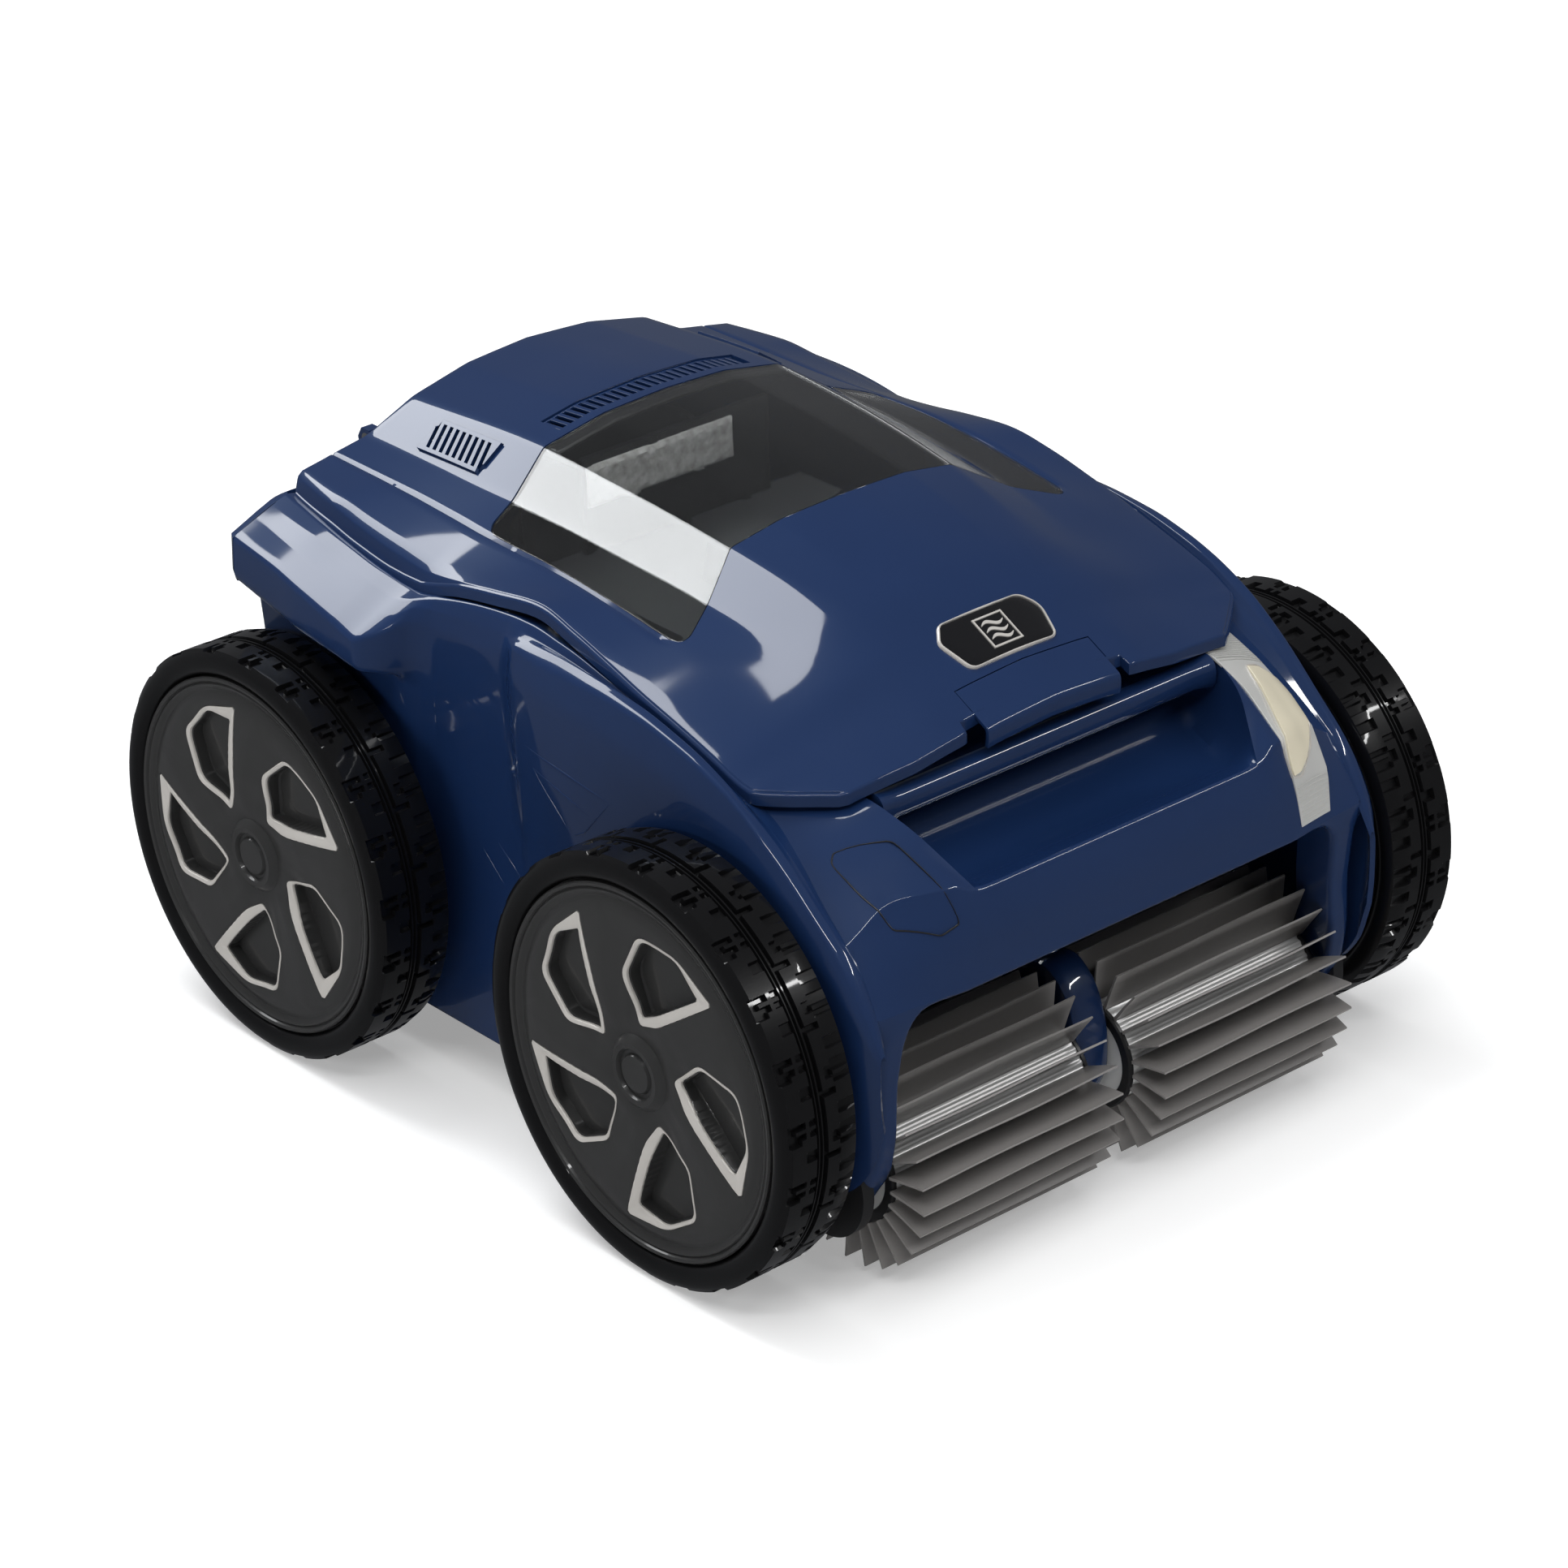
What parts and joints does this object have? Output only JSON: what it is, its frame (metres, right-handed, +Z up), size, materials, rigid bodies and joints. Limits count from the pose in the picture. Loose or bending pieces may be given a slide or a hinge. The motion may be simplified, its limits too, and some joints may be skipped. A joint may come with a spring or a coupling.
{
  "type": "pool cleaner",
  "caption": "Robotic pool cleaner on driven wheels: glossy hinged hood with clear window, filter basket, pump and twin bladed front brushes.",
  "frame": {"origin": "on the floor under the middle of the body, halfway between the axles", "axes": "+Z up, the brushes face -Y, +X to the machine's right"},
  "size_m": [0.409, 0.4855, 0.298],
  "materials": {
    "navy_shell": "gloss moulded",
    "window_clear": "clear, lightly smoked",
    "lens_cream": "clear over cream",
    "silver_strip": "silvered under clear",
    "black_plastic": "moulded",
    "badge_black": "gloss",
    "grey_plastic": "moulded",
    "filter_net": "woven",
    "felt": "felted",
    "white_plastic": "moulded",
    "motor_can": "satin",
    "belt_rubber": "ribbed",
    "steel": "turned",
    "core_silver": "drawn",
    "blade_rubber": "moulded",
    "tyre_black": "semi-gloss rubber",
    "rim_black": "moulded",
    "cover_black": "satin",
    "gear_plastic": "acetal"
  },
  "bodies": {
    "chassis": {"base_plate": "black_plastic", "base_screws": "steel", "brush_strut": "navy_shell", "cable_gland": "black_plastic", "filter_basket": "grey_plastic", "filter_cover": "grey_plastic", "filter_felt": "felt", "filter_mesh": "filter_net", "front_bumper": "navy_shell", "handle_bar": "navy_shell", "hinge_pins": "steel", "left_brush_belt": "belt_rubber", "left_brush_cover": "black_plastic", "left_drive_motor": "motor_can", "left_lamp_lens": "lens_cream", "left_lamp_strip": "silver_strip", "left_side_shell": "navy_shell", "left_wheel_belt": "belt_rubber", "motor_block": "black_plastic", "pump_duct": "grey_plastic", "pump_motor": "motor_can", "rear_cowl": "navy_shell", "right_brush_belt": "belt_rubber", "right_brush_cover": "black_plastic", "right_drive_motor": "motor_can", "right_lamp_lens": "lens_cream", "right_lamp_strip": "silver_strip", "right_side_shell": "navy_shell", "right_wheel_belt": "belt_rubber", "wheel_axles": "steel", "wheel_screws": "steel"},
    "lid": {"lid_shell": "navy_shell", "lid_window": "window_clear", "top_vent": "navy_shell", "left_vent": "navy_shell", "right_vent": "navy_shell", "lid_badge": "badge_black"},
    "latch": {"lid_latch": "navy_shell"},
    "pump_impeller": {"impeller": "white_plastic"},
    "inlet_flap": {"inlet_flap": "white_plastic"},
    "front_left_wheel": {"front_left_tyre": "tyre_black", "front_left_rim": "rim_black", "front_left_wheel_cover": "cover_black"},
    "front_left_pinion": {"front_left_drive_pinion": "gear_plastic"},
    "rear_left_wheel": {"rear_left_tyre": "tyre_black", "rear_left_rim": "rim_black", "rear_left_wheel_cover": "cover_black"},
    "rear_left_pinion": {"rear_left_drive_pinion": "gear_plastic"},
    "left_brush": {"left_brush_core": "core_silver", "left_brush_blades": "blade_rubber"},
    "front_right_wheel": {"front_right_tyre": "tyre_black", "front_right_rim": "rim_black", "front_right_wheel_cover": "cover_black"},
    "front_right_pinion": {"front_right_drive_pinion": "gear_plastic"},
    "rear_right_wheel": {"rear_right_tyre": "tyre_black", "rear_right_rim": "rim_black", "rear_right_wheel_cover": "cover_black"},
    "rear_right_pinion": {"rear_right_drive_pinion": "gear_plastic"},
    "right_brush": {"right_brush_core": "core_silver", "right_brush_blades": "blade_rubber"}
  },
  "joints": [
    {"name": "lid_hinge", "type": "hinge", "parent": "chassis", "child": "lid", "pos_m": [0, 0.19, 0.262], "axis": [-1, 0, 0], "range_deg": [0, 95]},
    {"name": "latch_pivot", "type": "hinge", "parent": "lid", "child": "latch", "pos_m": [0, -0.169, 0.2345], "axis": [-1, 0, 0], "range_deg": [0, 15], "stiffness_Nm_per_rad": 0.3, "springref_deg": -11.46},
    {"name": "impeller_spin", "type": "hinge", "parent": "chassis", "child": "pump_impeller", "pos_m": [0, 0.115, 0.19], "axis": [0, 0, 1], "continuous": true},
    {"name": "inlet_flap_hinge", "type": "hinge", "parent": "chassis", "child": "inlet_flap", "pos_m": [0, -0.041, 0.0754], "axis": [1, 0, 0], "range_deg": [0, 70]},
    {"name": "front_left_wheel_spin", "type": "hinge", "parent": "chassis", "child": "front_left_wheel", "pos_m": [-0.18, -0.139, 0.101], "axis": [1, 0, 0], "continuous": true},
    {"name": "front_left_pinion_spin", "type": "hinge", "parent": "chassis", "child": "front_left_pinion", "pos_m": [-0.15, -0.085, 0.101], "axis": [1, 0, 0], "continuous": true},
    {"name": "rear_left_wheel_spin", "type": "hinge", "parent": "chassis", "child": "rear_left_wheel", "pos_m": [-0.18, 0.139, 0.101], "axis": [1, 0, 0], "continuous": true},
    {"name": "rear_left_pinion_spin", "type": "hinge", "parent": "chassis", "child": "rear_left_pinion", "pos_m": [-0.15, 0.085, 0.101], "axis": [1, 0, 0], "continuous": true},
    {"name": "left_brush_spin", "type": "hinge", "parent": "chassis", "child": "left_brush", "pos_m": [-0.07, -0.1975, 0.051], "axis": [1, 0, 0], "continuous": true},
    {"name": "front_right_wheel_spin", "type": "hinge", "parent": "chassis", "child": "front_right_wheel", "pos_m": [0.18, -0.139, 0.101], "axis": [1, 0, 0], "continuous": true},
    {"name": "front_right_pinion_spin", "type": "hinge", "parent": "chassis", "child": "front_right_pinion", "pos_m": [0.15, -0.085, 0.101], "axis": [1, 0, 0], "continuous": true},
    {"name": "rear_right_wheel_spin", "type": "hinge", "parent": "chassis", "child": "rear_right_wheel", "pos_m": [0.18, 0.139, 0.101], "axis": [1, 0, 0], "continuous": true},
    {"name": "rear_right_pinion_spin", "type": "hinge", "parent": "chassis", "child": "rear_right_pinion", "pos_m": [0.15, 0.085, 0.101], "axis": [1, 0, 0], "continuous": true},
    {"name": "right_brush_spin", "type": "hinge", "parent": "chassis", "child": "right_brush", "pos_m": [0.07, -0.1975, 0.051], "axis": [1, 0, 0], "continuous": true}
  ],
  "couplings": [
    {"joint": "rear_left_wheel_spin", "follows": "front_left_wheel_spin", "ratio": 1},
    {"joint": "front_left_pinion_spin", "follows": "front_left_wheel_spin", "ratio": 5.5},
    {"joint": "rear_left_pinion_spin", "follows": "front_left_wheel_spin", "ratio": 5.5},
    {"joint": "left_brush_spin", "follows": "front_left_wheel_spin", "ratio": 5.5},
    {"joint": "rear_right_wheel_spin", "follows": "front_right_wheel_spin", "ratio": 1},
    {"joint": "front_right_pinion_spin", "follows": "front_right_wheel_spin", "ratio": 5.5},
    {"joint": "rear_right_pinion_spin", "follows": "front_right_wheel_spin", "ratio": 5.5},
    {"joint": "right_brush_spin", "follows": "front_right_wheel_spin", "ratio": 5.5}
  ]
}
